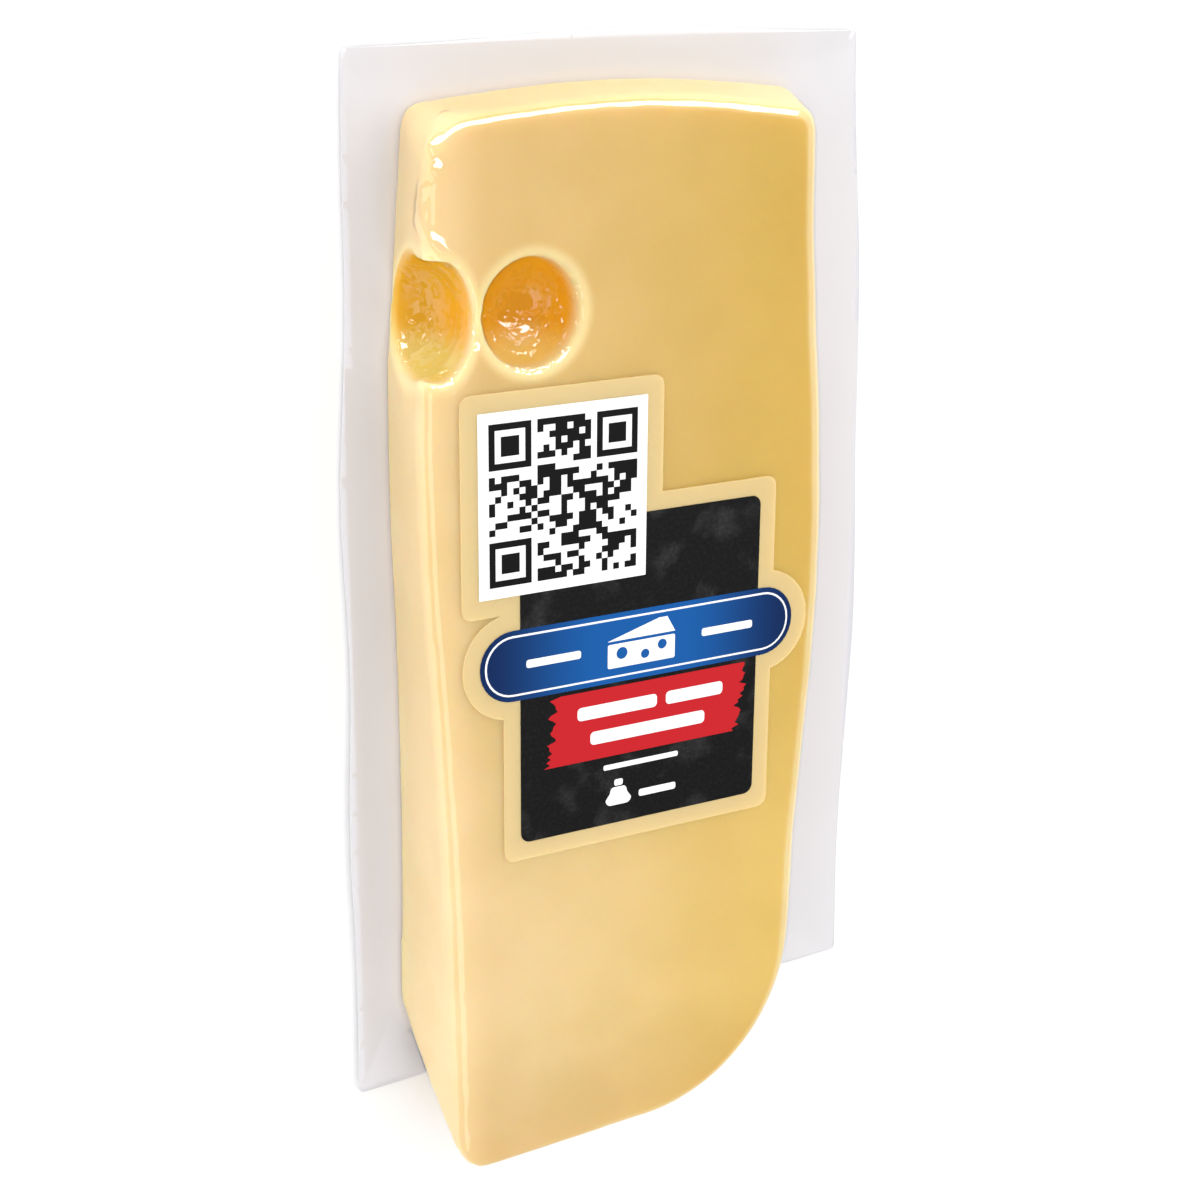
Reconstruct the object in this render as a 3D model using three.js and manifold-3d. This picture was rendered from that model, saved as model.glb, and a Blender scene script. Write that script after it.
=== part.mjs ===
// A vacuum-packed wedge of eyed cheese, lying on the flat back of its pack: the cut cheese,
// a flat back film, a formed top film that clings to the cheese and is sealed to the back film
// all round it, and a die-cut label on the face. Millimetres, +Z up, +Y towards the cut end.
import * as THREE from "three";
import { mergeVertices } from "three/addons/utils/BufferGeometryUtils.js";
import Module from "manifold-3d";

const wasm = await Module();
wasm.setup();

// The cheese. Its back lies on the back film and its face carries the label.
const THICKNESS = 15.9;
const BACK_LENGTH = 136.5;
const BACK_WIDTH = 68.0; // at the rind end
const LEFT_TAPER = 3.2; // how much nearer the middle the left side is at the cut end
const RIGHT_TAPER = 1.8;
const LEFT_LEAN_CUT = -3.7; // how far the left side leans in from back to face, at the cut end
const LEFT_LEAN_RIND = 3.1; // and at the rind end
const RIGHT_LEAN_CUT = 7.5;
const RIGHT_LEAN_RIND = 8.9;
const CUT_END_LEAN = 1.6;
const CUT_SHORT = 1.3; // how much nearer the middle the cut end's corners are than its middle
const RIND_OVERHANG = 21.8; // how far the rind end leans out from back to face
const RIND_SKEW = 1.8; // how much nearer the middle the rind end is at its right
const RIND_CROWN = 1.4; // how far the rind end swells at mid thickness

// How far each side swells, and at what share of its length; wave is a plain arch beside that.
const CUT_SWELL = { by: 0, at: 0.5, wave: 1.9 };
const RIGHT_SWELL = { by: 3.2, at: 0.5 };
const LEFT_SWELL = { by: 2.1, at: 0.7 };

// Its upright corners, in the order cut left, cut right, rind right, tip. The third is the
// rounded rim of the loaf that the wedge was cut from.
const BACK_RADII = [3.0, 4.6, 27.5, 5.4];
const FACE_RADII = [7.0, 3.4, 27.5, 5.4];

// The rounding of its edges along the cut end, the right side, the rind end and the left side.
const FACE_EDGES = [1.5, 2.2, 4.6, 2.4];
const BACK_EDGE = 0.4;

// The bubbles that the cuts have opened, the second and third run together into one eye: centre
// from the left side and the cut end, half width and half length, and as shares of the thickness
// the centre's depth below the face and the half height.
const EYES = [
  { inFromLeft: 14.7, fromCutEnd: 27.6, reach: [7.5, 7.7], below: 0.04, halfHeight: 0.5 },
  { inFromLeft: -0.5, fromCutEnd: 28.0, reach: [7.3, 8.6], below: 0.44, halfHeight: 0.5 },
  { inFromLeft: 1.4, fromCutEnd: 27.7, reach: [5.3, 8.4], below: 0.13, halfHeight: 0.38 },
];
const EYE_DIP = 0.82; // how much of an eye the film is drawn into

// The pack.
const BACK_GAUGE = 0.2; // thickness of the back film
const TOP_GAUGE = 0.2;
const SEAT_GAP = 0.3; // room between pieces that lie on each other
const FLANGE_LEFT = 7.1; // film beyond the cheese's back
const FLANGE_RIGHT = 11.3;
const FLANGE_CUT = 6.0;
const FLANGE_RIND = 10.4;
const FLANGE_SKEW = 2.9; // how much nearer the middle the rind end's edge is at its right
const FLANGE_TAPER_LEFT = 2.1; // how much narrower the flange is at the cut end
const FLANGE_TAPER_RIGHT = 3.4;
const FLANGE_CORNER = 0.8;
const FLANGE_SWELLS = [
  { by: 1.5, at: 0.55 },
  { by: 2.2, at: 0.45, wave: 0.5, cycles: 2.2, crest: 0.64 },
  { by: -0.9, at: 0.5 },
  { by: 0.7, at: 0.5, wave: 0.5, cycles: 2.8, crest: 0.255 },
];

// The label: a clear carrier cut round a code square, a panel and a cross band.
const LABEL_GAUGE = 0.15;
const CARRIER_MARGIN = 2.6; // clear carrier beyond the print
const CARRIER_CORNER = 1.6;
const PANEL = { x: -4.1, y: -10.1, width: 38.8, length: 46.4 };
const CODE = { x: -16.6, y: 16.9, width: 26.0, length: 26.0 };
const BAND = { x: -4.2, y: -6.3, width: 51.0, length: 10.4 };
const LABEL_FROM_LEFT = 35.7; // the label's datum from the left side and the cut end of the back
const LABEL_FROM_CUT = 70.0;

// Fineness of the curved surfaces.
const SIDE_STEPS = [7, 8, 5, 7]; // cut end, right side, rind end, left side
const CORNER_STEPS = [5, 5, 14, 6]; // cut left, cut right, rind right, tip
const FLANGE_STEPS = [11, 23, 11, 23];
const WALL_STEPS = 4;
const FACE_EDGE_STEPS = 8;
const BACK_EDGE_STEPS = 2;
const EYE_STEPS = 28;

const LEFT = -BACK_WIDTH / 2;
const RIGHT = BACK_WIDTH / 2;
const CUT_END = BACK_LENGTH / 2;
const RIND_END = -BACK_LENGTH / 2;
const CHEESE_BASE = BACK_GAUGE + SEAT_GAP;
const CHEESE_FACE = CHEESE_BASE + THICKNESS;
const SKIN = SEAT_GAP + TOP_GAUGE; // outside of the top film from the cheese
const STRAIGHT = { by: 0, at: 0.5 };
const WIDEST_EDGE = Math.max(...FACE_EDGES);

const point = (x, y) => new THREE.Vector2(x, y);
const mix = THREE.MathUtils.lerp;

// Sharp corners in the order cut left, cut right, rind right, tip, at a share of the thickness.
// The cut left corner is short only at the back.
function cornersAt(share) {
  const leanCut = LEFT_LEAN_CUT * share;
  const leanRind = LEFT_LEAN_RIND * share;
  const leanRight = [RIGHT_LEAN_CUT * share, RIGHT_LEAN_RIND * share];
  const shortLeft = CUT_SHORT * (1 - share);
  const cutEnd = CUT_END - CUT_END_LEAN * share;
  const rindEnd = RIND_END - RIND_OVERHANG * share - RIND_CROWN * 4 * share * (1 - share);
  return [
    point(LEFT + LEFT_TAPER + leanCut, cutEnd - shortLeft),
    point(RIGHT - RIGHT_TAPER - leanRight[0], cutEnd - CUT_SHORT),
    point(RIGHT - leanRight[1], rindEnd + RIND_SKEW),
    point(LEFT + leanRind, rindEnd),
  ];
}

// The corners moved so that side i, from corner i to the next, stands out[i] further out. The
// corners run clockwise.
function grown(corners, out) {
  const n = corners.length;
  const normals = corners.map((corner, i) => {
    const along = corners[(i + 1) % n].clone().sub(corner).normalize();
    return point(-along.y, along.x);
  });
  return corners.map((corner, i) => {
    const j = (i + n - 1) % n;
    const lean = normals[i].dot(normals[j]);
    const scale = 1 / (1 - lean * lean);
    return corner
      .clone()
      .addScaledVector(normals[i], (out[i] - out[j] * lean) * scale)
      .addScaledVector(normals[j], (out[j] - out[i] * lean) * scale);
  });
}

// How far a side stands out from its straight line, at a share of the way along it.
function bowOf({ by, at, wave = 0, cycles = 0, crest = 0 }, share) {
  const swell = by * Math.sin(Math.PI * share ** (Math.log(0.5) / Math.log(at))) ** 2;
  const ripple = wave * Math.cos(2 * Math.PI * cycles * (share - crest));
  return swell + ripple * Math.sin(Math.PI * share);
}

// A closed outline of a fixed number of points: rounded corners, with sides that may swell.
function outline(corners, radii, swells, cornerSteps, sideSteps) {
  const n = corners.length;
  const arcs = corners.map((corner, i) => {
    const before = corner.clone().sub(corners[(i + n - 1) % n]).normalize();
    const after = corners[(i + 1) % n].clone().sub(corner).normalize();
    const turn = Math.acos(THREE.MathUtils.clamp(before.dot(after), -1, 1));
    const start = corner.clone().addScaledVector(before, -radii[i] * Math.tan(turn / 2));
    const centre = start.clone().add(point(before.y, -before.x).multiplyScalar(radii[i]));
    const spoke = start.clone().sub(centre);
    return Array.from({ length: cornerSteps[i] + 1 }, (_, k) =>
      spoke.clone().rotateAround(point(0, 0), (-turn * k) / cornerSteps[i]).add(centre),
    );
  });
  const points = [];
  arcs.forEach((arc, i) => {
    points.push(...arc);
    const from = arc.at(-1);
    const to = arcs[(i + 1) % n][0];
    const along = to.clone().sub(from).normalize();
    const out = point(-along.y, along.x);
    for (let k = 1; k <= sideSteps[i]; k++) {
      const share = k / (sideSteps[i] + 1);
      points.push(from.clone().lerp(to, share).addScaledVector(out, bowOf(swells[i], share)));
    }
  });
  return points;
}

// A closed surface through rings of as many points each, lowest first, with flat ends.
function loft(rings) {
  const count = rings[0].points.length;
  const position = [];
  const middle = (ring) =>
    ring.points.reduce((sum, p) => sum.add(p), point(0, 0)).divideScalar(count);
  rings.forEach((ring) => ring.points.forEach((p) => position.push(p.x, p.y, ring.z)));
  [rings[0], rings.at(-1)].forEach((ring) => {
    const centre = middle(ring);
    position.push(centre.x, centre.y, ring.z);
  });
  const index = [];
  const lowest = rings.length * count;
  const last = (rings.length - 1) * count;
  for (let k = 0; k < count; k++) {
    const next = (k + 1) % count;
    for (let r = 0; r < rings.length - 1; r++) {
      const a = r * count + k;
      const b = r * count + next;
      index.push(a, a + count, b, b, a + count, b + count);
    }
    index.push(lowest, k, next);
    index.push(lowest + 1, last + next, last + k);
  }
  const geometry = new THREE.BufferGeometry();
  geometry.setAttribute("position", new THREE.Float32BufferAttribute(position, 3));
  return geometry.setIndex(index);
}

// How far the rounding of a face edge draws a side in, at a height above the cheese's back.
function drawnIn(edge, height) {
  const rise = Math.min(Math.max(height - (THICKNESS - edge), 0), edge);
  return edge - Math.sqrt(edge * edge - rise * rise);
}

// The cheese's outline at a height above its back, with each side moved in or out.
function cheeseRing(height, out) {
  const share = THREE.MathUtils.clamp(height / THICKNESS, 0, 1);
  const radii = BACK_RADII.map((radius, i) => {
    const nearest = Math.min(out[i], out[(i + 3) % 4]);
    return Math.max(mix(radius, FACE_RADII[i], share) + nearest, 0.6);
  });
  const swells = [CUT_SWELL, RIGHT_SWELL, STRAIGHT, LEFT_SWELL];
  return outline(grown(cornersAt(share), out), radii, swells, CORNER_STEPS, SIDE_STEPS);
}

// The cheese's shape with its back at the height given.
function cheeseSolid() {
  const rings = [];
  for (let k = 0; k < BACK_EDGE_STEPS; k++) {
    const angle = (Math.PI / 2) * (k / BACK_EDGE_STEPS);
    const height = BACK_EDGE * (1 - Math.cos(angle));
    const points = cheeseRing(height, FACE_EDGES.map(() => -BACK_EDGE * (1 - Math.sin(angle))));
    rings.push({ z: CHEESE_BASE + height, points });
  }
  wallHeights(BACK_EDGE).forEach((height) => {
    const points = cheeseRing(height, FACE_EDGES.map((edge) => -drawnIn(edge, height)));
    rings.push({ z: CHEESE_BASE + height, points });
  });
  return solid(loft(rings));
}

// Heights of the rings from a start up the walls and round the face edges, closer near the face.
function wallHeights(start) {
  const wallTop = THICKNESS - WIDEST_EDGE;
  const walls = Array.from({ length: WALL_STEPS }, (_, k) => mix(start, wallTop, k / WALL_STEPS));
  const edges = Array.from({ length: FACE_EDGE_STEPS + 1 }, (_, k) => {
    const angle = (Math.PI / 2) * (k / FACE_EDGE_STEPS);
    return wallTop + WIDEST_EDGE * Math.sin(angle);
  });
  return [...walls, ...edges];
}

// The same shape grown by an equal distance above the height of its base.
function grownCheese(grow, base) {
  const rings = [{ z: base, points: cheeseRing(0, FACE_EDGES.map(() => grow)) }];
  wallHeights(grow).forEach((height) => {
    const shares = FACE_EDGES.map((edge) => edge - drawnIn(edge, height));
    const out = FACE_EDGES.map((edge, i) => (shares[i] * (edge + grow)) / edge - edge);
    const lift = THREE.MathUtils.smoothstep(height, THICKNESS - WIDEST_EDGE, THICKNESS) * grow;
    rings.push({ z: CHEESE_BASE + height + lift, points: cheeseRing(height, out) });
  });
  return solid(loft(rings));
}

// three.js geometry to a manifold-3d solid and back.
function solid(geometry) {
  const bare = new THREE.BufferGeometry().setAttribute("position", geometry.getAttribute("position"));
  const merged = mergeVertices(bare.setIndex(geometry.index), 1e-4);
  return new wasm.Manifold(
    new wasm.Mesh({
      numProp: 3,
      vertProperties: merged.getAttribute("position").array,
      triVerts: new Uint32Array(merged.index.array),
    }),
  );
}

function geometryOf(made) {
  const mesh = made.getMesh();
  const geometry = new THREE.BufferGeometry();
  geometry.setAttribute("position", new THREE.Float32BufferAttribute(mesh.vertProperties, 3));
  geometry.setIndex(new THREE.Uint32BufferAttribute(mesh.triVerts, 1));
  geometry.computeVertexNormals();
  return geometry;
}

// An eye, smaller on every side by clearance and then by share.
function eyeSolid(eye, clearance, share) {
  const reach = [...eye.reach, eye.halfHeight * THICKNESS];
  const [rx, ry, rz] = reach.map((radius) => (radius - clearance) * share);
  const ball = new THREE.SphereGeometry(1, EYE_STEPS, EYE_STEPS / 2);
  ball.scale(rx, ry, rz);
  ball.translate(
    LEFT + eye.inFromLeft,
    CUT_END - eye.fromCutEnd,
    CHEESE_FACE - eye.below * THICKNESS,
  );
  return solid(ball);
}

function withoutEyes(made, clearance, share) {
  return EYES.reduce((left, eye) => left.subtract(eyeSolid(eye, clearance, share)), made);
}

// The pack's outline, shared by both films where they are sealed.
function flangeOutline() {
  const corners = [
    point(LEFT - FLANGE_LEFT + FLANGE_TAPER_LEFT, CUT_END + FLANGE_CUT),
    point(RIGHT + FLANGE_RIGHT - FLANGE_TAPER_RIGHT, CUT_END + FLANGE_CUT),
    point(RIGHT + FLANGE_RIGHT, RIND_END - FLANGE_RIND + FLANGE_SKEW),
    point(LEFT - FLANGE_LEFT, RIND_END - FLANGE_RIND),
  ];
  return outline(corners, Array(4).fill(FLANGE_CORNER), FLANGE_SWELLS, Array(4).fill(3), FLANGE_STEPS);
}

function sheetOf(points, base, gauge) {
  return loft([
    { z: base, points },
    { z: base + gauge, points },
  ]);
}

function cheese() {
  return geometryOf(withoutEyes(cheeseSolid(), 0, 1));
}

function topFilm() {
  const flange = solid(sheetOf(flangeOutline(), CHEESE_BASE, TOP_GAUGE));
  const outside = withoutEyes(grownCheese(SKIN, CHEESE_BASE), SKIN, EYE_DIP);
  const inside = withoutEyes(grownCheese(SEAT_GAP, CHEESE_BASE - 1), SEAT_GAP, EYE_DIP);
  return geometryOf(outside.add(flange).subtract(inside));
}

// A rounded rectangle of the label, as wide as its print and the carrier beyond it.
function patch({ x, y, width, length }, corner) {
  const halfWidth = width / 2 + CARRIER_MARGIN;
  const halfLength = length / 2 + CARRIER_MARGIN;
  const corners = [
    point(x - halfWidth, y + halfLength),
    point(x + halfWidth, y + halfLength),
    point(x + halfWidth, y - halfLength),
    point(x - halfWidth, y - halfLength),
  ];
  const four = (value) => Array(4).fill(value);
  const points = outline(corners, four(corner), four(STRAIGHT), four(6), four(0));
  return solid(sheetOf(points, CHEESE_FACE + SKIN + SEAT_GAP, LABEL_GAUGE));
}

function frontLabel() {
  const bandCorner = BAND.length / 2 + CARRIER_MARGIN - 0.1;
  const carrier = patch(PANEL, CARRIER_CORNER)
    .add(patch(CODE, CARRIER_CORNER))
    .add(patch(BAND, bandCorner));
  return geometryOf(carrier).translate(LEFT + LABEL_FROM_LEFT, CUT_END - LABEL_FROM_CUT, 0);
}

function piece(name, geometry, colour, roughness) {
  const material = new THREE.MeshStandardMaterial({ color: colour, roughness, metalness: 0 });
  const mesh = new THREE.Mesh(geometry, material);
  mesh.name = name;
  return mesh;
}

const contents = new THREE.Group();
contents.add(
  piece("cheese_wedge", cheese(), 0xf0d38c, 0.45),
  piece("back_film", sheetOf(flangeOutline(), 0, BACK_GAUGE), 0xe7e4e3, 0.4),
  piece("top_film", topFilm(), 0xf2efe6, 0.15),
  piece("front_label", frontLabel(), 0x2b2b2c, 0.5),
);

// The pack stands on z = 0 with its own middle over the origin.
const extent = new THREE.Box3().setFromObject(contents);
const middle = extent.getCenter(new THREE.Vector3());
contents.position.set(-middle.x, -middle.y, 0);

const pack = new THREE.Group();
pack.add(contents);
export default pack;
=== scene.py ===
# %% [markdown]
# # A vacuum-packed wedge of cheese
#
# The object is a small supermarket wedge: one cut piece of a cheese with round eyes, lying on a
# pale backing film, under a clear film that the vacuum has pulled down tight, with a printed
# label on its face. The measured frame already says where everything is and how large it is.
# This lesson gives each piece its real surface, one piece at a time.

# %% Load the measured frame
import bpy
import math
import random
from mathutils import Euler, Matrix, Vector
from mathutils.geometry import intersect_point_line


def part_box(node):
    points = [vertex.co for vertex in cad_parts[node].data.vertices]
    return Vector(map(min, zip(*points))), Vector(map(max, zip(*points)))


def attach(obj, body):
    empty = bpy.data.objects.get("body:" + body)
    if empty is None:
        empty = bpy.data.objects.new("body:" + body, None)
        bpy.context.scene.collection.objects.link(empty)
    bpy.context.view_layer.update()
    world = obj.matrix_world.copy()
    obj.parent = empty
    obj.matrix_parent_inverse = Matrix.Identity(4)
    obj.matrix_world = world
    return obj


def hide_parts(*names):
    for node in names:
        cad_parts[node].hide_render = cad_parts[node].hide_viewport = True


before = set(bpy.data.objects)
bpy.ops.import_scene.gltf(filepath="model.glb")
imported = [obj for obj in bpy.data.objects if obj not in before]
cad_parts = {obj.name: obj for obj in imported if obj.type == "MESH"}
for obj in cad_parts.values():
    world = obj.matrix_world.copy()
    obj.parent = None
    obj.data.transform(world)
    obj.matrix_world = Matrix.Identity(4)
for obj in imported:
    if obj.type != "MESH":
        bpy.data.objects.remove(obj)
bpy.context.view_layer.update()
MM = 0.001
TOUCH = 0.001 * MM  # corners closer than this are one corner

cheese_low, cheese_high = (Vector(corner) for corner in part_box("cheese_wedge"))
flange_low, flange_high = (Vector(corner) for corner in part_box("back_film"))
label_low, label_high = (Vector(corner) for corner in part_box("front_label"))
print("cheese", [round(side / MM, 1) for side in cheese_high - cheese_low], "mm")

# %% [markdown]
# ## The view
#
# The pack lies on its back and the camera looks down on it from beyond its upper left corner,
# so the face, the left side and the cut end all show. A lens of 65 mm at about 30 cm keeps a
# little perspective without stretching the near corner. Place, turn and lens are all it needs.

# %% Set the camera
CAMERA_PLACE = Vector((-152.1, 102.9, 269.5)) * MM
CAMERA_TURN = Euler([math.radians(angle) for angle in (-18.89, -28.93, 0.49)])
LENS = 65.5  # millimetres
NEAREST = 10 * MM  # nothing closer than this is seen

camera_data = bpy.data.cameras.new("camera")
camera_data.lens = LENS
camera_data.clip_start = NEAREST
camera = bpy.data.objects.new("camera", camera_data)
camera.location = CAMERA_PLACE
camera.rotation_euler = CAMERA_TURN
bpy.context.collection.objects.link(camera)
bpy.context.scene.camera = camera
print("camera", LENS, "mm,", round(CAMERA_PLACE.length, 3), "m from the pack")

# %% [markdown]
# ## Small helpers
#
# Modelling by operators is modelling by hand: select something, then act on it. An operator acts
# on whatever is selected, so every step here first selects exactly one object, and inside edit
# mode exactly the corners, edges or faces that it means. These helpers keep that habit short.

# %% Helpers for selecting and finishing
def only(piece):
    if bpy.context.object and bpy.context.object.mode != "OBJECT":
        bpy.ops.object.mode_set(mode="OBJECT")
    bpy.ops.object.select_all(action="DESELECT")
    piece.select_set(True)
    bpy.context.view_layer.objects.active = piece


def pick(piece, part, chosen):
    """Opens the piece in edit mode with just the vertices, edges or faces that chosen() likes."""
    only(piece)
    bpy.ops.object.mode_set(mode="EDIT")
    bpy.ops.mesh.select_mode(type=part)
    bpy.ops.mesh.select_all(action="DESELECT")
    bpy.ops.object.mode_set(mode="OBJECT")
    mesh = piece.data
    parts = {"VERT": mesh.vertices, "EDGE": mesh.edges, "FACE": mesh.polygons}[part]
    for item in parts:
        item.select = chosen(item)
    bpy.ops.object.mode_set(mode="EDIT")


def modify(piece, kind, **settings):
    """Adds a modifier, sets it and applies it."""
    only(piece)
    modifier = piece.modifiers.new(kind.lower(), kind)
    for name, value in settings.items():
        setattr(modifier, name, value)
    bpy.ops.object.modifier_apply(modifier=modifier.name)


def smooth(piece, angle=60):
    only(piece)
    bpy.ops.object.shade_smooth_by_angle(angle=math.radians(angle))


def copy_of(node, name):
    """A merged copy of a measured solid, as a new piece to work on."""
    piece = bpy.data.objects.new(name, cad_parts[node].data.copy())
    piece.data.materials.clear()
    bpy.context.collection.objects.link(piece)
    pick(piece, "VERT", lambda vertex: True)
    bpy.ops.mesh.remove_doubles(threshold=2 * TOUCH)
    bpy.ops.object.mode_set(mode="OBJECT")
    return piece


def join(*pieces):
    only(pieces[0])
    for piece in pieces:
        piece.select_set(True)
    bpy.ops.object.join()
    return pieces[0]


def report(piece):
    size = [round(side / MM, 1) for side in piece.dimensions]
    print(piece.name, size, "mm,", len(piece.data.polygons), "faces")


# %% [markdown]
# ## The cheese
#
# The wedge is sliced, so its faces are flat only at first sight: a wire leaves faint waves, and
# the paste gives a little at the edges when the film is pulled tight. Modelling that from a bare
# block would mean repeating every measured slant. Instead a copy of the measured solid is
# remeshed into small even squares, softened, and pushed about by two sizes of cloud noise.

# %% Shape the cheese
def clouds(name, size):
    texture = bpy.data.textures.new(name, "CLOUDS")
    texture.noise_scale = size
    texture.noise_depth = 2
    return texture


CHEESE_GRID = 0.62 * MM
SOFTENING = 5  # rounds of smoothing
SWELL = 0.12 * MM  # gives back what smoothing takes from the edges
WAVE_SIZE, WAVE_DEPTH = 26 * MM, 0.3 * MM  # left by the wire
GRAIN_SIZE, GRAIN_DEPTH = 5 * MM, 0.07 * MM

cheese = copy_of("cheese_wedge", "cheese")
modify(cheese, "REMESH", mode="VOXEL", voxel_size=CHEESE_GRID)
modify(cheese, "SMOOTH", factor=0.5, iterations=SOFTENING)
modify(cheese, "DISPLACE", strength=SWELL, mid_level=0)
wire_waves = clouds("wire waves", WAVE_SIZE)
modify(cheese, "DISPLACE", texture=wire_waves, strength=WAVE_DEPTH, mid_level=0.5)
paste_grain = clouds("paste grain", GRAIN_SIZE)
modify(cheese, "DISPLACE", texture=paste_grain, strength=GRAIN_DEPTH, mid_level=0.5)
smooth(cheese, 180)
report(cheese)

# %% [markdown]
# ## The look of the cheese
#
# Light goes a few millimetres into the paste before it comes out again, which is what makes
# cheese glow at its edges. Principled's subsurface does this: red travels furthest, blue hardly
# at all. The colour is not even either. It is palest at the wide, lower left and deeper yellow
# towards the right. Light and shade are painted on as well: pale painted highlights along the
# edges, painted shade towards the rind end, a pale painted halo round each eye, and eye walls
# painted amber where the upper wall is in shade and pale where the lower wall is lit.
# Light that soaks through the wedge reaches them too; a very weak emission stands for it.

# %% Helpers for node materials
def material(name):
    made = bpy.data.materials.new(name)
    made.use_nodes = True
    made.node_tree.nodes.remove(made.node_tree.nodes["Principled BSDF"])
    return made


def node(made, kind, inputs=(), **settings):
    """Adds a node, gives it its settings, and fills its inputs with values or other outputs."""
    new = made.node_tree.nodes.new("ShaderNode" + kind)
    for name, value in settings.items():
        setattr(new, name, value)
    for name, value in dict(inputs).items():
        if isinstance(value, bpy.types.NodeSocket):
            made.node_tree.links.new(value, new.inputs[name])
        else:
            new.inputs[name].default_value = value
    return new


def output(made, shader):
    end = made.node_tree.nodes["Material Output"]
    made.node_tree.links.new(shader.outputs[0], end.inputs["Surface"])


def place(made):
    return node(made, "TexCoord").outputs["Object"]


def rising(made, value, start, end):
    """0 before start, 1 after end, with a soft step between them."""
    given = {"Value": value, "From Min": start, "From Max": end}
    return node(made, "MapRange", given, interpolation_type="SMOOTHSTEP").outputs[0]


def noise(made, size, detail=3.0):
    """Noise with features of about the size given, from 0 to 1."""
    given = {"Vector": place(made), "Scale": 1 / size, "Detail": detail}
    return node(made, "TexNoise", given).outputs["Fac"]


def blend(made, share, first, second, kind="MIX"):
    mixer = node(made, "Mix", data_type="RGBA", blend_type=kind)
    for socket, value in zip((0, 6, 7), (share, first, second)):
        if isinstance(value, bpy.types.NodeSocket):
            made.node_tree.links.new(value, mixer.inputs[socket])
        else:
            mixer.inputs[socket].default_value = value
    return mixer.outputs[2]


def tinted(made, share, base, tint):
    """The base colour, multiplied by the tint where share is 1."""
    return blend(made, share, base, blend(made, 1, base, (*tint, 1), "MULTIPLY"))


def math_of(made, operation, first, second):
    return node(made, "Math", {0: first, 1: second}, operation=operation).outputs[0]


def bump(made, height, depth):
    """depth is how far, in metres, the surface seems to rise where height is 1."""
    return node(made, "Bump", {"Height": height, "Distance": depth}).outputs["Normal"]


def colour(red, green, blue):
    """A colour as a paint chart gives it, from 0 to 255, as Blender's linear values."""
    def linear(part):
        part /= 255
        return part / 12.92 if part <= 0.04045 else ((part + 0.055) / 1.055) ** 2.4

    return (linear(red), linear(green), linear(blue), 1)


# %% Paint the paste and its eyes
CORNER = Vector((cheese_low.x, cheese_high.y, cheese_high.z))  # the corner nearest the eyes
BUBBLES = {  # centre of each bubble from that corner, and its half sizes
    "face": (CORNER + Vector((15.85, -28.2, -0.64)) * MM, Vector((7.5, 7.7, 7.95)) * MM),
    "side, low": (CORNER + Vector((0.65, -28.6, -7.0)) * MM, Vector((7.3, 8.6, 7.95)) * MM),
    "side, high": (CORNER + Vector((2.55, -28.3, -2.07)) * MM, Vector((5.3, 8.4, 6.04)) * MM),
}


LEFT_PASTE, RIGHT_PASTE = colour(238, 210, 157), colour(231, 198, 113)
# painted highlights: pale bands that stand for light on the left wall and on the roundings at the
# right
LEFT_EDGE_HIGHLIGHT, RIGHT_EDGE_HIGHLIGHT = colour(246, 220, 172), colour(244, 222, 170)
UPPER_TINT = (0.90, 0.845, 0.68)
# painted shade where the face rounds over towards the rind end
RIND_END_SHADE = (0.90, 0.86, 0.78)
MOTTLE_TINT = (0.96, 0.95, 0.90)
MOTTLE_SIZE = 14 * MM


def paste_colour(made):
    """Paler to the left, deeper to the right and to the cut end, with painted shade towards the rind
    end and painted highlights along the edges.
    """
    across, along, _ = node(made, "SeparateXYZ", {0: place(made)}).outputs
    left, right, rind = cheese_low.x, cheese_high.x, cheese_low.y
    deeper = rising(made, across, left + 8 * MM, right - 8 * MM)
    base = blend(made, deeper, LEFT_PASTE, RIGHT_PASTE)
    base = tinted(made, rising(made, along, rind + 35 * MM, rind + 95 * MM), base, UPPER_TINT)
    # painted shade towards the rind end
    base = tinted(made, rising(made, along, rind + 24 * MM, rind + 4 * MM), base, RIND_END_SHADE)
    # a painted highlight along the left wall and its edge
    lit_left_edge = rising(made, across, left + 10 * MM, left + 3 * MM)
    base = blend(made, math_of(made, "MULTIPLY", lit_left_edge, 0.55), base, LEFT_EDGE_HIGHLIGHT)
    # a painted highlight on the roundings at the right
    turned = node(made, "Attribute", attribute_name="turned").outputs["Fac"]
    lit_rounding = math_of(made, "MULTIPLY", rising(made, turned, 0.003, 0.06), deeper)
    base = blend(made, math_of(made, "MULTIPLY", lit_rounding, 0.7), base, RIGHT_EDGE_HIGHLIGHT)
    return tinted(made, rising(made, noise(made, MOTTLE_SIZE), 0.35, 0.65), base, MOTTLE_TINT)


def from_bubble(made, centre, reach):
    """1 on the wall of a bubble, less inside it and more outside."""
    offset = node(made, "VectorMath", {0: place(made), 1: centre}, operation="SUBTRACT").outputs[0]
    share = node(made, "VectorMath", {0: offset, 1: reach}, operation="DIVIDE").outputs[0]
    return node(made, "VectorMath", {0: share}, operation="LENGTH").outputs["Value"]


def nearest(made):
    """How far a spot is from the nearest bubble, as a share of its half size."""
    face, low, high = [from_bubble(made, *bubble) for bubble in BUBBLES.values()]
    return math_of(made, "MINIMUM", face, math_of(made, "MINIMUM", low, high))


RIM_HALO_LIGHT = colour(250, 228, 172)  # a pale painted halo of light round each eye
# painted light and shade in the eyes: pale where the lower wall is lit, amber where the upper wall
# is in shade
LIT_EYE_WALL, SHADED_EYE_WALL = colour(246, 208, 112), colour(242, 174, 32)
SIDE_EYE_SHADE = (0.80, 0.88, 0.80)  # painted shade on the side eye's walls
GLOW, GLOW_STRENGTH = colour(255, 150, 10), 0.075


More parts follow.
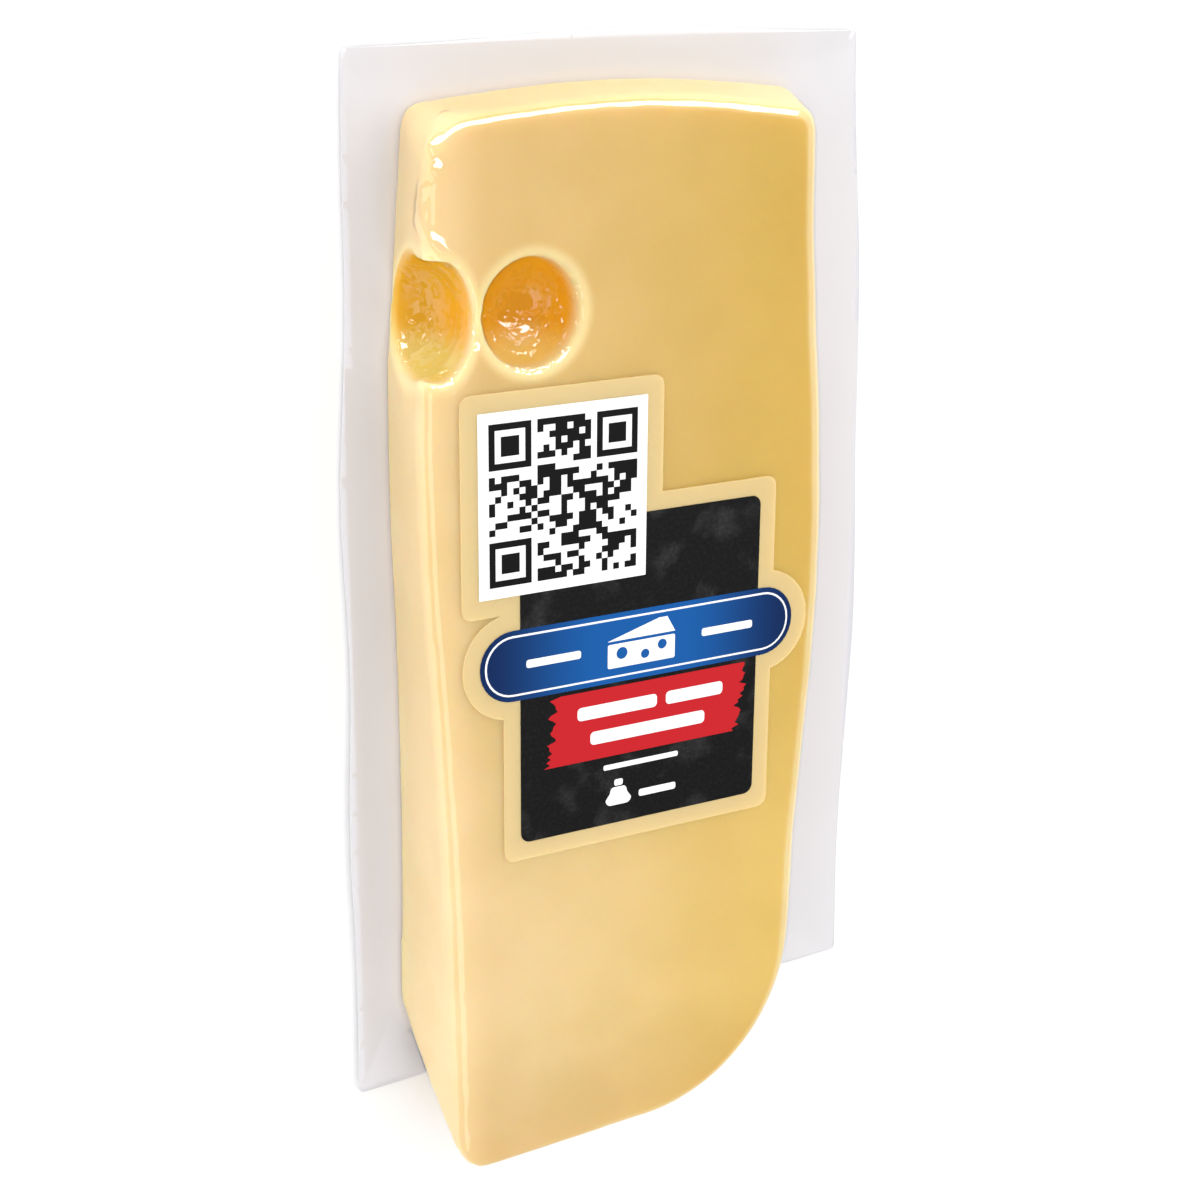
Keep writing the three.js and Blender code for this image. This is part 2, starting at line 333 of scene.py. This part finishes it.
def eye_wall_light_and_shade(made, across, along):
    """The colour of an eye's wall: painted shade, amber, in its upper part, and painted light, pale,
    below.
    """
    # painted shade on the upper wall, painted light on the lower
    shaded_upper = rising(made, along, CORNER.y - 34.5 * MM, CORNER.y - 30 * MM)
    eye_wall_colour = blend(made, shaded_upper, LIT_EYE_WALL, SHADED_EYE_WALL)
    # painted shade on the eye in the left wall
    side_eye_shade = rising(made, across, cheese_low.x + 9 * MM, cheese_low.x + 6 * MM)
    return tinted(made, side_eye_shade, eye_wall_colour, SIDE_EYE_SHADE)


def eye_depth(made, across, up):
    """0 on the faces of the wedge, 1 well inside it."""
    below = rising(made, up, cheese_high.z - 0.7 * MM, cheese_high.z - 3.6 * MM)
    inward = rising(made, across, cheese_low.x + 0.8 * MM, cheese_low.x + 3.2 * MM)
    return math_of(made, "MULTIPLY", below, inward)


def cheese_material():
    made = material("cheese paste")
    base = paste_colour(made)
    across, along, up = node(made, "SeparateXYZ", {0: place(made)}).outputs
    share = nearest(made)
    # the pale painted halo of light round each eye
    rim = math_of(made, "MULTIPLY", rising(made, share, 1.28, 1.05), 0.75)
    base = blend(made, rim, base, RIM_HALO_LIGHT)
    near_wall = rising(made, share, 1.1, 1.03)
    wall = math_of(made, "MULTIPLY", near_wall, eye_depth(made, across, up))
    grain = noise(made, 1.1 * MM, 4.0)
    given = {
        "Base Color": blend(made, wall, base, eye_wall_light_and_shade(made, across, along)),
        "Roughness": 0.42,
        "Subsurface Weight": 0.55,
        "Subsurface Radius": (1.0, 0.5, 0.18),
        "Subsurface Scale": 5 * MM,
        "Specular IOR Level": 0.2,
        "Emission Color": blend(made, wall, (0, 0, 0, 1), GLOW),
        "Emission Strength": GLOW_STRENGTH,
        "Normal": bump(made, grain, 0.05 * MM),
    }
    output(made, node(made, "BsdfPrincipled", given))
    return made


def mark_turned(piece):
    """Stores how far the surface has turned from face up: 0 on the face, 1 on an upright wall."""
    turned = piece.data.attributes.new("turned", "FLOAT", "POINT")
    for vertex, mark in zip(piece.data.vertices, turned.data):
        mark.value = 1 - vertex.normal.z


mark_turned(cheese)
cheese.data.materials.append(cheese_material())
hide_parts("cheese_wedge")
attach(cheese, "root")

# %% [markdown]
# ## The top film
#
# The top film is heated, sucked down over the cheese and welded to the back film. It touches the
# cheese nearly everywhere, but it is too stiff to follow a sharp hollow: it bridges the corner
# where the cheese meets the back film, and it rounds the rims of the eyes. The same is done here.
# The cheese and a slab for the flange are remeshed into one form. Pushing that form out and back
# in again closes its hollows, as the stretched film does. A shell of it is the film.

# %% Gather the bodies that the film is drawn over
FILM_GRID = 0.5 * MM
FILM_SOFTENING = 6  # rounds of smoothing
CLING = 0.3 * MM  # outside of the film from the cheese
BRIDGE = 0.7 * MM  # hollows tighter than this are bridged
WELD_TOP = 0.42 * MM  # height of the welded flange
FRAY = 0.45 * MM  # smoothing takes this much from the flange's rim
SLAB_DEPTH = 4 * MM  # the slab reaches this far below the flange, where it is cut away


def flange_slab():
    """The back film's outline as a thick slab, for the film's flange."""
    slab = copy_of("back_film", "flange slab")
    pick(slab, "VERT", lambda vertex: vertex.co.z < flange_high.z / 2)
    bpy.ops.transform.translate(value=(0, 0, -SLAB_DEPTH))
    pick(slab, "VERT", lambda vertex: vertex.co.z > flange_high.z / 2)
    bpy.ops.transform.translate(value=(0, 0, WELD_TOP - CLING - flange_high.z))
    pick(slab, "VERT", lambda vertex: True)
    size = flange_high - flange_low
    spread = 2 * (FRAY - CLING)
    grow = [1 + spread / size.x, 1 + spread / size.y, 1]
    bpy.ops.transform.resize(value=grow, center_override=(flange_high + flange_low) / 2)
    bpy.ops.object.mode_set(mode="OBJECT")
    return slab


cling_form = bpy.data.objects.new("top_film_web", cheese.data.copy())
cling_form.data.materials.clear()
bpy.context.collection.objects.link(cling_form)
top_film = join(cling_form, flange_slab())
report(top_film)

# %% Draw the film down
modify(top_film, "REMESH", mode="VOXEL", voxel_size=FILM_GRID)
modify(top_film, "DISPLACE", strength=CLING + BRIDGE, mid_level=0)
modify(top_film, "REMESH", mode="VOXEL", voxel_size=FILM_GRID)
modify(top_film, "DISPLACE", strength=-BRIDGE, mid_level=0)
modify(top_film, "SMOOTH", factor=0.5, iterations=FILM_SOFTENING)
report(top_film)

# %% [markdown]
# ## Creases and wrinkles
#
# Where there is more film than surface, it gathers. Near the corners it stands up in a few short
# creases, and in an eye, which has less surface than the film had over the opening, it crumples.
# A vertex group marks where, and a Displace modifier lifts only that. The creases rise evenly;
# in the eyes fine clouds make small facets that catch the light one by one.

# %% Find the creases and the film in the eyes
CREASE_RISE = 0.95 * MM
CREASES = [  # start and end from the corner nearest the eyes, and half width, in millimetres
    ((5.4, -2.8, -3.7), (2.3, -5.9, -1.3), 1.6),
    ((2.2, -8.5, -0.3), (2.4, -9.0, -0.2), 1.5),
    ((1.4, -11.0, -1.9), (1.3, -14.1, -2.6), 1.5),
    ((1.3, -15.4, -2.9), (2.0, -17.8, -0.4), 1.6),
    ((2.0, -17.8, -0.4), (4.4, -20.2, 0.0), 1.6),
    ((7.6, -32.2, 0.0), (4.4, -37.5, 0.0), 0.9),
    ((4.4, -37.5, 0.0), (3.0, -40.0, -0.3), 0.8),
    ((5.9, -146.1, -0.7), (5.7, -149.4, -0.9), 1.0),
    ((3.6, -134.1, -5.8), (3.5, -137.0, -7.0), 0.9),
    ((4.0, -139.6, -3.0), (4.1, -143.0, -4.2), 0.9),
    ((11.1, -154.6, -0.5), (20.3, -145.8, -0.25), 1.0),
]


def on_a_crease(spot):
    """1 on the ridge of a crease, falling to 0 at its half width."""
    share = 0
    for start, end, reach in CREASES:
        start, end = CORNER + Vector(start) * MM, CORNER + Vector(end) * MM
        foot, along = intersect_point_line(spot, start, end)
        foot = start if along < 0 else end if along > 1 else foot
        share = max(share, 1 - (spot - foot).length_squared / (reach * MM) ** 2)
    return share * share


def in_an_eye(spot):
    """0 on the faces of the wedge, 1 well inside an eye."""
    shares = []
    for centre, reach in BUBBLES.values():
        offset = spot - centre
        shares.append(Vector(a / b for a, b in zip(offset, reach)).length)
    inside = min(max((1.04 - min(shares)) / 0.1, 0), 1)
    below = min(max((cheese_high.z - spot.z) / (4 * MM), 0), 1)
    return inside * below


def weigh(piece, name, share_at):
    """A vertex group whose weight is share_at(place) at every corner."""
    only(piece)
    group = piece.vertex_groups.new(name=name)
    for vertex in piece.data.vertices:
        share = share_at(vertex.co)
        if share > 0:
            group.add([vertex.index], share, "REPLACE")


# %% Lift the creases, crumple the eyes, and cut the film free
CRUMPLE_SIZE, CRUMPLE_DEPTH = 1.8 * MM, 0.5 * MM
RIM_DEPTH = 0.12 * MM  # how far the film's rim reaches down
KEPT = 0.5  # share of the faces that Decimate keeps
weigh(top_film, "creases", on_a_crease)
modify(top_film, "DISPLACE", vertex_group="creases", strength=CREASE_RISE, mid_level=0)
weigh(top_film, "eyes", in_an_eye)
crumple = clouds("crumple", CRUMPLE_SIZE)
settings = {"texture": crumple, "strength": CRUMPLE_DEPTH, "mid_level": 0.45}
modify(top_film, "DISPLACE", vertex_group="eyes", **settings)
pick(top_film, "VERT", lambda vertex: True)
bpy.ops.mesh.bisect(
    plane_co=(0, 0, WELD_TOP - RIM_DEPTH),
    plane_no=(0, 0, 1),
    clear_inner=True,
    threshold=TOUCH,
)
bpy.ops.object.mode_set(mode="OBJECT")
modify(top_film, "DECIMATE", ratio=KEPT)
report(top_film)
print("top of the film", round(max(v.co.z for v in top_film.data.vertices) / MM, 2), "mm")

# %% [markdown]
# ## Curling the flange
#
# Where the two films are welded they cool at different rates, so the flange never lies quite
# flat: its edges lift a millimetre or so in slow waves. A Displace modifier with large clouds
# does this. Its vertex group is 0 where the cheese holds the film down and 1 at the outer edge.
# Both films get the same clouds and the same group, so they stay together.

# %% Let the flange curl
CURL, CURL_SIZE = 1.1 * MM, 34 * MM
FILM_GAUGE = 0.08 * MM
curl_clouds = clouds("flange curl", CURL_SIZE)
curl_clouds.noise_depth = 1
HELD = 1.0 * MM  # the cheese holds the film down this far beyond its own edge
BACK_END = cheese_low.y + 18.6 * MM  # the cheese's back ends well before its rind


def looseness(spot):
    """How free the film is to lift at a spot: 0 by the cheese, 1 at the flange's edge."""
    share = max(
        (cheese_low.x - HELD - spot.x) / (cheese_low.x - HELD - flange_low.x),
        (spot.x - cheese_high.x - HELD) / (flange_high.x - cheese_high.x - HELD),
        (spot.y - cheese_high.y - HELD) / (flange_high.y - cheese_high.y - HELD),
        (BACK_END - HELD - spot.y) / (BACK_END - HELD - flange_low.y),
    )
    held_by_wall = (spot.z - WELD_TOP) / (1.2 * MM)
    share = min(max(share, 0), 1) * (1 - min(max(held_by_wall, 0), 1))
    return share * share * (3 - 2 * share)


def curl(film):
    weigh(film, "loose", looseness)
    settings = {"texture": curl_clouds, "strength": CURL, "mid_level": 0, "direction": "Z"}
    modify(film, "DISPLACE", vertex_group="loose", **settings)


curl(top_film)
modify(top_film, "SOLIDIFY", thickness=FILM_GAUGE, offset=-1)
smooth(top_film, 60)
report(top_film)

# %% [markdown]
# ## The look of the clear film
#
# The film is thinner than paper, so nothing bends on its way through: Transparent, not Glass, is
# the right shader. What makes it visible is gloss, weak when seen from above and strong at a
# glancing angle. Layer Weight gives that angle, and a fifth power gives the usual curve. On the
# flange the weld has left the film matt, and in the eyes fine creases break up its gloss.

# %% Make the film clear and glossy
FACE_ON_GLOSS = 0.04
GLANCING_GLOSS = 0.12
MATT_UP_TO, GLOSSY_FROM = 2.2 * MM, 4 * MM  # the weld is matt, the walls are glossy
FINE_CREASE, FINE_RISE = 1.6 * MM, 0.35 * MM
SLOW_WAVE, SLOW_RISE = 7 * MM, 0.3 * MM


def gloss_share(made):
    """How much of the light the film mirrors."""
    facing = node(made, "LayerWeight", {"Blend": 0.5}).outputs["Facing"]
    glance = math_of(made, "POWER", facing, 5.0)
    share = math_of(made, "MULTIPLY_ADD", glance, GLANCING_GLOSS)
    share.node.inputs[2].default_value = FACE_ON_GLOSS
    up = node(made, "SeparateXYZ", {0: place(made)}).outputs[2]
    return math_of(made, "MULTIPLY", share, rising(made, up, MATT_UP_TO, GLOSSY_FROM))


def ripples(made):
    """Slow waves all over the film, and fine creases in the eyes."""
    eye = rising(made, nearest(made), 1.06, 0.94)
    fine = rising(made, noise(made, FINE_CREASE, 1.0), 0.5, 0.7)
    creases = math_of(made, "MULTIPLY", fine, eye)
    slow = math_of(made, "MULTIPLY", noise(made, SLOW_WAVE, 2.0), SLOW_RISE)
    height = math_of(made, "MULTIPLY_ADD", creases, FINE_RISE)
    made.node_tree.links.new(slow, height.node.inputs[2])
    return bump(made, height, 1.0)


def film_material():
    made = material("clear film")
    given = {"Color": (1, 1, 1, 1), "Roughness": 0.08, "Normal": ripples(made)}
    gloss = node(made, "BsdfGlossy", given)
    clear = node(made, "BsdfTransparent", {"Color": (1, 1, 1, 1)})
    parts = {0: gloss_share(made), 1: clear.outputs[0], 2: gloss.outputs[0]}
    output(made, node(made, "MixShader", parts))
    return made


top_film.data.materials.append(film_material())
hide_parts("top_film")
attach(top_film, "root")

# %% [markdown]
# ## The back film
#
# The back film is a flat web, pale grey and slightly see-through. Its outline is the measured
# one, so a copy of the measured plate is scored with parallel cuts to give it enough corners to
# bend, and then curled like the film above it.

# %% Score and curl the back film
SCORE = 1.5 * MM  # between two cuts


def score(axis, low, high):
    """Cuts across one axis, all through the piece that is open in edit mode."""
    cuts = int((high - low) / SCORE)
    normal = [1.0 if axis == i else 0.0 for i in range(3)]
    for k in range(1, cuts):
        spot = [(low + (high - low) * k / cuts) * part for part in normal]
        bpy.ops.mesh.select_all(action="SELECT")
        bpy.ops.mesh.bisect(plane_co=spot, plane_no=normal, threshold=TOUCH)


back_film = copy_of("back_film", "back_film_web")
pick(back_film, "VERT", lambda vertex: True)
score(0, flange_low.x, flange_high.x)
score(1, flange_low.y, flange_high.y)
curl(back_film)
smooth(back_film, 60)
report(back_film)


PALE_GREY, DEEPER_GREY = colour(225, 223, 227), colour(223, 221, 225)


def back_material():
    made = material("pale back film")
    cloud = rising(made, noise(made, 30 * MM, 2.0), 0.3, 0.7)
    base = blend(made, cloud, PALE_GREY, DEEPER_GREY)
    given = {
        "Base Color": base,
        "Roughness": 0.45,
        "Specular IOR Level": 0.3,
        "Normal": bump(made, noise(made, 6 * MM, 2.0), 0.06 * MM),
    }
    output(made, node(made, "BsdfPrincipled", given))
    return made


back_film.data.materials.append(back_material())
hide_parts("back_film")
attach(back_film, "root")

# %% [markdown]
# ## The label's carrier
#
# The label is one piece of clear self-adhesive film, cut with a small margin round everything
# that is printed on it. Three rounded plates, one for each printed field, are joined by a
# Boolean union. All the plates of the label are made the same way: a block at its size and
# place, with its four upright edges bevelled.

# %% Cut the clear carrier
def under_the_label(spot):
    return label_low.x < spot.x < label_high.x and label_low.y < spot.y < label_high.y


FILM_FACE = max(v.co.z for v in top_film.data.vertices if under_the_label(v.co))
LIFT = 0.03 * MM  # between film and carrier
CARRIER = 0.10 * MM  # thickness of the carrier
INK = 0.02 * MM  # thickness of each layer of print
MARGIN = 2.6 * MM  # of the carrier, round the print
CARRIER_CORNER = 1.6 * MM


def field(x, y, wide, long):
    """A printed field: the place of its middle in metres, and its sides in millimetres."""
    return {"x": x, "y": y, "wide": wide * MM, "long": long * MM}


def grown(of, by):
    """The same field, larger on every side."""
    return {**of, "wide": of["wide"] + 2 * by, "long": of["long"] + 2 * by}


CODE = field(label_low.x + 15.6 * MM, label_high.y - 15.6 * MM, 26, 26)
PANEL = field(label_high.x - 28 * MM, label_low.y + 25.8 * MM, 38.8, 46.4)
BAND = field(PANEL["x"] - 0.1 * MM, PANEL["y"] + 3.8 * MM, 51, 10.4)


def base_of(layer):
    """The height that a layer starts at. Layer 0 is the carrier, and the ink starts with 1."""
    return FILM_FACE + LIFT + (CARRIER + (layer - 1) * INK if layer else 0)


def plate(name, at, corner, layer, gauge=INK):
    """A plate with rounded corners."""
    base = base_of(layer)
    bpy.ops.object.select_all(action="DESELECT")
    bpy.ops.mesh.primitive_cube_add(size=1, location=(at["x"], at["y"], base + gauge / 2))
    piece = bpy.context.object
    piece.name = name
    piece.scale = (at["wide"], at["long"], gauge)
    bpy.ops.object.transform_apply(location=True, rotation=True, scale=True)
    corners = piece.data.vertices
    pick(piece, "EDGE", lambda edge: len({round(corners[i].co.z, 7) for i in edge.vertices}) == 2)
    bpy.ops.mesh.bevel(offset=corner, segments=8)
    bpy.ops.object.mode_set(mode="OBJECT")
    return piece


carrier = plate("label_carrier", grown(PANEL, MARGIN), CARRIER_CORNER, 0, CARRIER)
for at, corner in ((CODE, CARRIER_CORNER), (BAND, BAND["long"] / 2 + MARGIN - 0.2 * MM)):
    other = plate("carrier field", grown(at, MARGIN), corner, 0, CARRIER)
    modify(carrier, "BOOLEAN", operation="UNION", object=other, solver="EXACT")
    bpy.data.objects.remove(other)
smooth(carrier, 30)
report(carrier)

# %% [markdown]
# ## The printed fields
#
# The print is ink on the carrier: a dark panel like a slate, a blue band across it, a red patch,
# and short white bars where a maker would put words. Each is a thin plate on the one below it,
# so that it stays sharp from any distance. The bars and the little wedge say only "cheese".

# %% Print the panel, the band and the patch
PATCH = field(PANEL["x"] + 1.6 * MM, PANEL["y"] - 7.3 * MM, 30, 10.6)

panel = plate("panel", PANEL, 1.5 * MM, 1)
band = plate("band", BAND, 5.1 * MM, 2)
keyline = plate("keyline", grown(BAND, -0.75 * MM), 4.3 * MM, 3)
band_face = plate("band_face", grown(BAND, -1.05 * MM), 4.0 * MM, 4)
for piece in (panel, band, keyline, band_face):
    smooth(piece, 30)


# %% Brush on the patch
BRISTLES = 24  # rows of the patch
SLANT = 1.6  # millimetres that the ends lean outwards from the lowest row to the highest
stroke = random.Random(3)


def brushed(name, at, layer):
    """A patch whose rows end unevenly, like one stroke of a stiff brush."""
    base = base_of(layer)
    bpy.ops.object.select_all(action="DESELECT")
    bpy.ops.mesh.primitive_grid_add(
        x_subdivisions=1, y_subdivisions=BRISTLES, size=1, location=(at["x"], at["y"], base)
    )
    piece = bpy.context.object
    piece.name = name
    piece.scale = (at["wide"], at["long"], 1)
    bpy.ops.object.transform_apply(location=True, rotation=True, scale=True)
    for row in range(BRISTLES + 1):
        height = at["y"] + at["long"] * (row / BRISTLES - 0.5)
        for side in (-1, 1):
            pick(
                piece,
                "VERT",
                lambda v: abs(v.co.y - height) < INK and (v.co.x - at["x"]) * side > 0,
            )
            reach = stroke.uniform(-1.3, 0.2) + SLANT * (row / BRISTLES - 0.5)
            fringe = side * stroke.uniform(0.2, 1)
            bpy.ops.transform.translate(value=(fringe * MM + reach * MM, 0, 0))
    bpy.ops.object.mode_set(mode="OBJECT")
    modify(piece, "SOLIDIFY", thickness=INK, offset=1)
    return piece


patch = brushed("patch", PATCH, 2)
report(patch)


# %% Print short bars in place of words
def bar(x, y, wide, high, layer):
    """A short white bar, placed in millimetres from the panel's middle."""
    at = field(PANEL["x"] + x * MM, PANEL["y"] + y * MM, wide, high)
    return plate("bar", at, min(wide, high) * 0.32 * MM, layer)


def weight_mark(x, y, layer):
    """A small scale weight: a block that narrows upwards, with a knob."""
    block = bar(x, y, 4.2, 2.8, layer)
    middle = PANEL["y"] + y * MM
    pick(block, "VERT", lambda vertex: vertex.co.y > middle)
    bpy.ops.transform.resize(value=(0.66, 1, 1), center_override=(PANEL["x"] + x * MM, middle, 0))
    bpy.ops.object.mode_set(mode="OBJECT")
    return join(block, bar(x, y + 2.1, 1.4, 1.0, layer))


bars = join(
    bar(-3.9, -5.3, 13.0, 2.0, 3),
    bar(8.9, -5.3, 9.6, 2.0, 3),
    bar(1.2, -9.3, 19.0, 2.0, 3),
    bar(0.1, -14.3, 12.4, 0.8, 2),
    bar(2.9, -19.3, 6.2, 1.1, 2),
    weight_mark(-3.6, -19.0, 2),
    bar(-14.2, 3.8, 8.6, 1.2, 5),
    bar(14.2, 3.8, 8.6, 1.2, 5),
)
bars.name = "white_bars"
report(bars)

# %% Print a small wedge on the band
MARK_WIDTH = 11  # millimetres
HOLES = ((-3.2, -0.9, 0.9), (0.6, -1.6, 0.7), (3.4, -0.6, 0.75))  # places and radii from the band


def wedge_mark():
    """A rectangle for the cut side with three round holes, and a leaning triangle for its top."""
    at = field(BAND["x"], BAND["y"] - 1.2 * MM, MARK_WIDTH, 3.6)
    side = plate("wedge_mark", at, 0.3 * MM, 5)
    for x, y, radius in HOLES:
        bpy.ops.object.select_all(action="DESELECT")
        middle = (BAND["x"] + x * MM, BAND["y"] + y * MM, side.data.vertices[0].co.z)
        bpy.ops.mesh.primitive_cylinder_add(
            vertices=24, radius=radius * MM, depth=1 * MM, location=middle
        )
        hole = bpy.context.object
        modify(side, "BOOLEAN", operation="DIFFERENCE", object=hole, solver="EXACT")
        bpy.data.objects.remove(hole)
    at = field(BAND["x"], BAND["y"] + 2.25 * MM, MARK_WIDTH, 2.4)
    top = plate("wedge top", at, 0.05 * MM, 5)
    upper = at["y"]
    pick(top, "VERT", lambda vertex: vertex.co.y > upper)
    bpy.ops.transform.resize(value=(0.14, 1, 1), center_override=(BAND["x"] + 4 * MM, upper, 0))
    bpy.ops.object.mode_set(mode="OBJECT")
    return join(side, top)


mark = wedge_mark()
report(mark)

# %% [markdown]
# ## The code square
#
# Packs like this carry a square of black blocks for a phone to read. Here it is a pattern that
# looks the part and says nothing: a grid of 25 by 25 cells, three corner squares, and cells
# between them that a seeded dice roll keeps or drops. The cells are selected and deleted on one
# grid, and Solidify gives what is left the thickness of ink.

# %% Print the code square
CELLS = 25
QUIET = 1.6 * MM  # white border
dice = random.Random(7)


def in_corner_square(column, row):
    """None away from the corner squares, else whether the cell is black."""
    for left, low in ((0, 0), (0, CELLS - 7), (CELLS - 7, CELLS - 7)):
        x, y = column - left, row - low
        if -1 <= x <= 7 and -1 <= y <= 7:
            ring = max(abs(x - 3), abs(y - 3))
            return ring in (0, 1, 3)
    return None


def code_blocks():
    side = CODE["wide"] - 2 * QUIET
    base = base_of(3)
    bpy.ops.object.select_all(action="DESELECT")
    bpy.ops.mesh.primitive_grid_add(
        x_subdivisions=CELLS, y_subdivisions=CELLS, size=side, location=(CODE["x"], CODE["y"], base)
    )
    blocks = bpy.context.object
    blocks.name = "code_blocks"
    bpy.ops.object.transform_apply(location=True, rotation=True, scale=True)
    rolls = [[dice.random() < 0.5 for _ in range(CELLS)] for _ in range(CELLS)]

    def is_white(cell):
        column = int((cell.center.x - CODE["x"] + side / 2) / side * CELLS)
        row = int((cell.center.y - CODE["y"] + side / 2) / side * CELLS)
        fixed = in_corner_square(column, row)
        return not (rolls[row][column] if fixed is None else fixed)

    pick(blocks, "FACE", is_white)
    bpy.ops.mesh.delete(type="FACE")
    bpy.ops.object.mode_set(mode="OBJECT")
    modify(blocks, "SOLIDIFY", thickness=INK, offset=1)
    return blocks


code_ground = plate("code_ground", CODE, 0.1 * MM, 2)
code = code_blocks()
report(code)

# %% [markdown]
# ## Inks and the carrier's look
#
# Printed ink is matt beside the clear film. The slate of the panel has a fine tooth and soft
# smears, like a wiped blackboard. The band is darker towards its ends. The carrier itself shows
# only as a slightly milky margin.

# %% Ink the label
WHITE, BLACK, RED = colour(250, 250, 250), colour(18, 18, 18), colour(197, 12, 26)
SLATE, SMEARED_SLATE = colour(22, 22, 23), colour(42, 42, 43)
BLUE, DARK_BLUE = colour(2, 88, 164), colour(4, 40, 92)
SMEAR_SIZE, TOOTH_SIZE = 6 * MM, 0.5 * MM


def ink(name, base, roughness=0.6, tooth=0.0):
    made = material(name)
    given = {
        "Base Color": base(made) if callable(base) else base,
        "Roughness": roughness,
        "Specular IOR Level": 0.2,
    }
    if tooth:
        given["Normal"] = bump(made, noise(made, TOOTH_SIZE, 4.0), tooth)
    output(made, node(made, "BsdfPrincipled", given))
    return made


def slate(made):
    smear = rising(made, noise(made, SMEAR_SIZE, 12.0), 0.5, 0.7)
    grain = rising(made, noise(made, TOOTH_SIZE, 3.0), 0.4, 0.7)
    base = blend(made, smear, SLATE, SMEARED_SLATE)
    return tinted(made, grain, base, (1.5, 1.5, 1.5))


def blue(made):
    across = node(made, "SeparateXYZ", {0: place(made)}).outputs[0]
    offset = math_of(made, "SUBTRACT", across, BAND["x"])
    outward = node(made, "Math", {0: offset}, operation="ABSOLUTE").outputs[0]
    share = rising(made, outward, 6 * MM, 25 * MM)
    return blend(made, share, BLUE, DARK_BLUE)


MILKINESS = 0.38  # share of the light that the carrier scatters
MILKY = colour(254, 230, 172)


def carrier_material():
    made = material("clear carrier")
    milky = node(made, "BsdfDiffuse", {"Color": MILKY})
    clear = node(made, "BsdfTransparent", {"Color": (1, 1, 1, 1)})
    mixed = node(made, "MixShader", {0: MILKINESS, 1: clear.outputs[0], 2: milky.outputs[0]})
    output(made, mixed)
    return made


white_ink = ink("white ink", WHITE)
slate_ink = ink("slate ink", slate, 0.55, 0.03 * MM)
blue_ink = ink("blue ink", blue, 0.4)
INKS = [
    (carrier, carrier_material()),
    (panel, slate_ink),
    (band, blue_ink),
    (keyline, white_ink),
    (band_face, blue_ink),
    (patch, ink("red ink", RED)),
    (bars, white_ink),
    (mark, white_ink),
    (code_ground, white_ink),
    (code, ink("black ink", BLACK)),
]
for piece, finish in INKS:
    piece.data.materials.append(finish)
    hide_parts("front_label")
    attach(piece, "root")
carrier.visible_shadow = False  # it is too clear to shade the cheese
print("label pieces", len(INKS))

# %% [markdown]
# ## Floor and light
#
# A white floor and an even white sky light the pack from all round. Two low softboxes light the
# walls of the wedge and hardly touch its flange. They and the sky are hidden from reflections:
# a clear film is seen only by what it mirrors, and it mirrors two panels that light nothing
# else. The one beyond the cut end leaves the bright line along the film's edge, and the faint
# one at the left a softer line down its side.

# %% Lay the floor
FLOOR_SIDE = 3  # metres
FLOOR_DROP = 0.2 * MM  # keeps the floor and the back film apart
FLOOR_WHITE = (0.93, 0.93, 0.93, 1)
bpy.ops.object.select_all(action="DESELECT")
bpy.ops.mesh.primitive_plane_add(size=FLOOR_SIDE, location=(0, 0, -FLOOR_DROP))
floor = bpy.context.object
floor.name = "floor"
floor_finish = material("white floor")
output(floor_finish, node(floor_finish, "BsdfDiffuse", {"Color": FLOOR_WHITE}))
floor.data.materials.append(floor_finish)

# %% Light it
SKY = 1.21
SOFTBOXES = [  # name, place, width and height in metres, watts, and whether it is mirrored
    ("box beyond the cut end", (0.05, 0.60, 0.06), (0.7, 0.08), 1.9, False),
    ("box at the left", (-0.60, 0.08, 0.10), (0.5, 0.12), 0.45, False),
    ("panel beyond the cut end", (0.08, 0.50, 0.34), (0.9, 0.32), 11, True),
    ("panel at the left", (-0.44, -0.18, 0.40), (0.5, 0.3), 0.6, True),
]


def softbox(name, place_at, size, power, mirrored):
    """A lamp aimed at the pack, seen only in reflections if mirrored, and else never in them."""
    lamp = bpy.data.lights.new(name, "AREA")
    lamp.shape = "RECTANGLE"
    lamp.size, lamp.size_y = size
    lamp.energy = power
    lamp_object = bpy.data.objects.new(name, lamp)
    lamp_object.location = place_at
    lamp_object.rotation_euler = (-Vector(place_at)).to_track_quat("-Z", "Y").to_euler()
    lamp_object.visible_glossy = mirrored
    lamp_object.visible_diffuse = not mirrored
    bpy.context.collection.objects.link(lamp_object)


for box in SOFTBOXES:
    softbox(*box)

world = bpy.data.worlds.new("sky")
world.use_nodes = True
world.node_tree.nodes["Background"].inputs["Color"].default_value = (1, 1, 1, 1)
world.node_tree.nodes["Background"].inputs["Strength"].default_value = SKY
world.cycles_visibility.glossy = False
bpy.context.scene.world = world
bpy.context.scene.view_settings.view_transform = "Standard"
